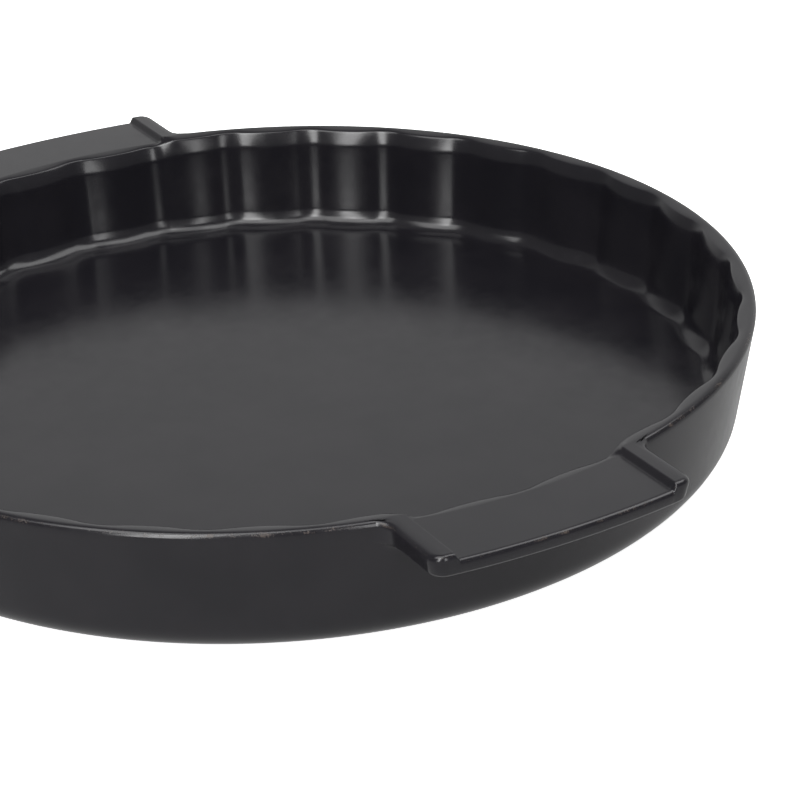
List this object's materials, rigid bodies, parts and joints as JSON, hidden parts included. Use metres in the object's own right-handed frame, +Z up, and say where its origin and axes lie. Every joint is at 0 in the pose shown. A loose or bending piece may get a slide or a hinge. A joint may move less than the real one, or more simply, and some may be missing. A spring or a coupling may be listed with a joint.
{
  "type": "fluted tart dish",
  "caption": "Round fluted tart dish in dark satin-glazed stoneware, with a drafted wall, a soft rim and two flat recessed handles.",
  "frame": {"origin": "centre of the dish on the plane of its foot ring, where it rests", "axes": "+X through the middle of the right handle, +Z up out of the open side, +Y completing a right-handed frame"},
  "size_m": [0.3438, 0.3, 0.0412],
  "materials": {
    "glaze": "satin charcoal glaze, worn thin to brown along the edges",
    "bare_clay": "matt unglazed stoneware"
  },
  "bodies": {
    "root": {"floor_plate": "glaze", "fluted_wall": "glaze", "right_handle": "glaze", "left_handle": "glaze", "foot_ring": "bare_clay"}
  },
  "joints": []
}
